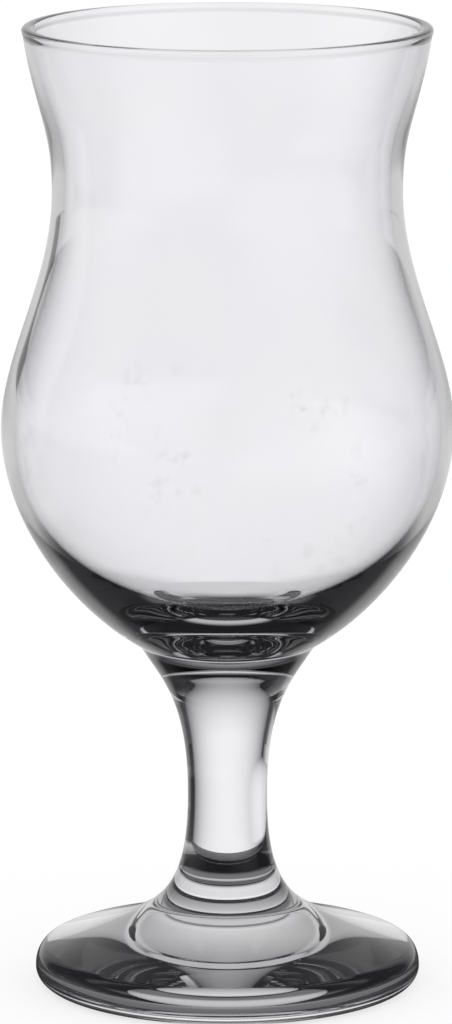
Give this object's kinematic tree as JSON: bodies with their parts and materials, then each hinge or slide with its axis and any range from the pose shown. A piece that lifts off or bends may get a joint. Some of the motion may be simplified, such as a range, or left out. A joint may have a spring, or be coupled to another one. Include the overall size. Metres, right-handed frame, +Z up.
{
  "type": "hurricane glass",
  "caption": "Clear hurricane cocktail glass: flared lip, narrow waist and round belly on a short waisted stem and a domed round foot.",
  "frame": {"origin": "centre of the foot's resting ring, on the table", "axes": "+Z up the axis of the glass, from the foot to the lip; X and Y are alike, because the glass is round"},
  "size_m": [0.0838, 0.0838, 0.18],
  "materials": {
    "clear_glass": "clear polished soda-lime glass"
  },
  "bodies": {
    "root": {"bowl": "clear_glass", "stem": "clear_glass", "foot": "clear_glass"}
  },
  "joints": []
}
